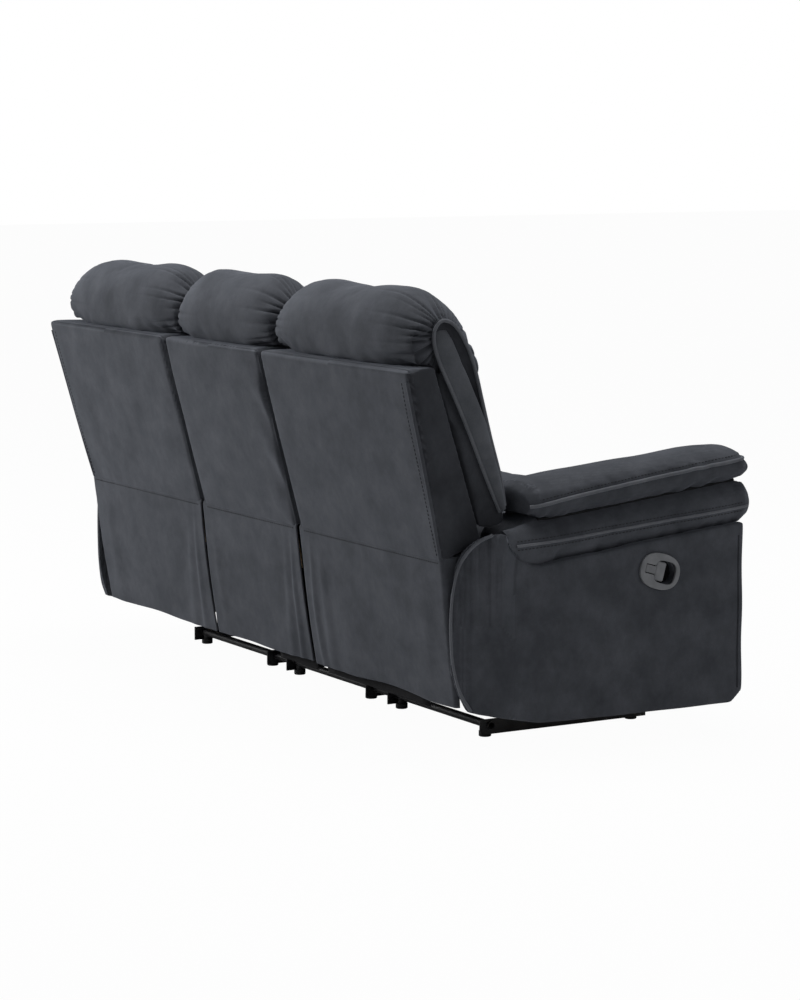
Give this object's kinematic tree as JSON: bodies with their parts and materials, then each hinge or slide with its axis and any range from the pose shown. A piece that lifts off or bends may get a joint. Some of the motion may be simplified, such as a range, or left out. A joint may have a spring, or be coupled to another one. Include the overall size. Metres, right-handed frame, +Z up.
{
  "type": "reclining sofa",
  "caption": "Upholstered sofa whose end seats recline: steel mechanism on glide feet, pillow arms with recessed release levers, fold-out footrests, stuffed headrests, hanging back flaps.",
  "frame": {"origin": "on the floor under the middle of the whole sofa", "axes": "+X across the width towards the sitter's left, -Y towards the front, +Z up"},
  "size_m": [1.9, 0.9145, 1.0093],
  "materials": {
    "suede": "brushed nap, mottled",
    "lining": "thin woven black cloth",
    "black_steel": "black paint",
    "spring_steel": "bare drawn wire",
    "timber": "sawn softwood",
    "grey_plastic": "fine moulded grain",
    "black_plastic": "plain moulded"
  },
  "bodies": {
    "base": {"cross_tubes": "black_steel", "glide_feet": "black_plastic", "side_rails": "black_steel", "middle_stands": "black_steel", "dust_cover": "lining", "middle_front_panel": "suede", "middle_seat_frame": "timber", "middle_seat_springs": "spring_steel", "middle_seat_cushion": "suede", "middle_back_frame": "black_steel", "middle_back_shell": "suede", "middle_lumbar_cushion": "suede", "middle_headrest": "suede", "middle_back_flap": "suede", "left_recliner_stands": "black_steel", "left_arm_frame": "timber", "left_arm_side_panel": "suede", "left_arm_inner_panel": "suede", "left_arm_roll": "suede", "left_arm_pad": "suede", "left_handle_cup": "grey_plastic", "left_release_cable": "black_plastic", "right_recliner_stands": "black_steel", "right_arm_frame": "timber", "right_arm_side_panel": "suede", "right_arm_inner_panel": "suede", "right_arm_roll": "suede", "right_arm_pad": "suede", "right_handle_cup": "grey_plastic", "right_release_cable": "black_plastic"},
    "left_seat": {"left_seat_carriage": "black_steel", "left_seat_frame": "timber", "left_seat_springs": "spring_steel", "left_seat_cushion": "suede"},
    "left_back": {"left_back_frame": "black_steel", "left_back_shell": "suede", "left_lumbar_cushion": "suede", "left_back_wings": "suede", "left_headrest": "suede", "left_back_flap": "suede"},
    "left_rear_link_set": {"left_rear_links": "black_steel"},
    "left_front_link_set": {"left_front_links": "black_steel"},
    "left_footrest": {"left_footrest_brackets": "black_steel", "left_footrest_pad": "suede"},
    "left_handle": {"left_handle_paddle": "grey_plastic"},
    "right_seat": {"right_seat_carriage": "black_steel", "right_seat_frame": "timber", "right_seat_springs": "spring_steel", "right_seat_cushion": "suede"},
    "right_back": {"right_back_frame": "black_steel", "right_back_shell": "suede", "right_lumbar_cushion": "suede", "right_back_wings": "suede", "right_headrest": "suede", "right_back_flap": "suede"},
    "right_rear_link_set": {"right_rear_links": "black_steel"},
    "right_front_link_set": {"right_front_links": "black_steel"},
    "right_footrest": {"right_footrest_brackets": "black_steel", "right_footrest_pad": "suede"},
    "right_handle": {"right_handle_paddle": "grey_plastic"}
  },
  "joints": [
    {"name": "left_seat_glide", "type": "slide", "parent": "base", "child": "left_seat", "axis": [0, -1, 0], "range_m": [0, 0.07]},
    {"name": "left_back_recline", "type": "hinge", "parent": "left_seat", "child": "left_back", "pos_m": [0.5015, 0.215, 0.3], "axis": [-1, 0, 0], "range_deg": [0, 38], "stiffness_Nm_per_rad": 55, "springref_deg": -22.92},
    {"name": "left_footrest_open", "type": "hinge", "parent": "left_seat", "child": "left_rear_link_set", "pos_m": [0.5015, -0.15, 0.262], "axis": [-1, 0, 0], "range_deg": [0, 145]},
    {"name": "left_link_fold", "type": "hinge", "parent": "left_rear_link_set", "child": "left_front_link_set", "pos_m": [0.5015, 0.01887, 0.1645], "axis": [-1, 0, 0], "range_deg": [-132, 0]},
    {"name": "left_footrest_tilt", "type": "hinge", "parent": "left_front_link_set", "child": "left_footrest", "pos_m": [0.5015, -0.3547, 0.13182], "axis": [-1, 0, 0], "range_deg": [0, 67]},
    {"name": "left_handle_pull", "type": "hinge", "parent": "base", "child": "left_handle", "pos_m": [0.938, -0.1212, 0.38954], "axis": [0, -0.2756, 0.9613], "range_deg": [0, 28], "stiffness_Nm_per_rad": 0.05, "springref_deg": -11.46},
    {"name": "right_seat_glide", "type": "slide", "parent": "base", "child": "right_seat", "axis": [0, -1, 0], "range_m": [0, 0.07]},
    {"name": "right_back_recline", "type": "hinge", "parent": "right_seat", "child": "right_back", "pos_m": [-0.5015, 0.215, 0.3], "axis": [-1, 0, 0], "range_deg": [0, 38], "stiffness_Nm_per_rad": 55, "springref_deg": -22.92},
    {"name": "right_footrest_open", "type": "hinge", "parent": "right_seat", "child": "right_rear_link_set", "pos_m": [-0.5015, -0.15, 0.262], "axis": [-1, 0, 0], "range_deg": [0, 145]},
    {"name": "right_link_fold", "type": "hinge", "parent": "right_rear_link_set", "child": "right_front_link_set", "pos_m": [-0.5015, 0.01887, 0.1645], "axis": [-1, 0, 0], "range_deg": [-132, 0]},
    {"name": "right_footrest_tilt", "type": "hinge", "parent": "right_front_link_set", "child": "right_footrest", "pos_m": [-0.5015, -0.3547, 0.13182], "axis": [-1, 0, 0], "range_deg": [0, 67]},
    {"name": "right_handle_pull", "type": "hinge", "parent": "base", "child": "right_handle", "pos_m": [-0.938, -0.1212, 0.38954], "axis": [0, 0.2756, -0.9613], "range_deg": [0, 28], "stiffness_Nm_per_rad": 0.05, "springref_deg": -11.46}
  ],
  "couplings": [
    {"joint": "left_seat_glide", "follows": "left_back_recline", "m_per_rad": 0.10553},
    {"joint": "left_link_fold", "follows": "left_footrest_open", "ratio": -0.91034},
    {"joint": "left_footrest_tilt", "follows": "left_footrest_open", "ratio": 0.46206},
    {"joint": "right_seat_glide", "follows": "right_back_recline", "m_per_rad": 0.10553},
    {"joint": "right_link_fold", "follows": "right_footrest_open", "ratio": -0.91034},
    {"joint": "right_footrest_tilt", "follows": "right_footrest_open", "ratio": 0.46206}
  ]
}
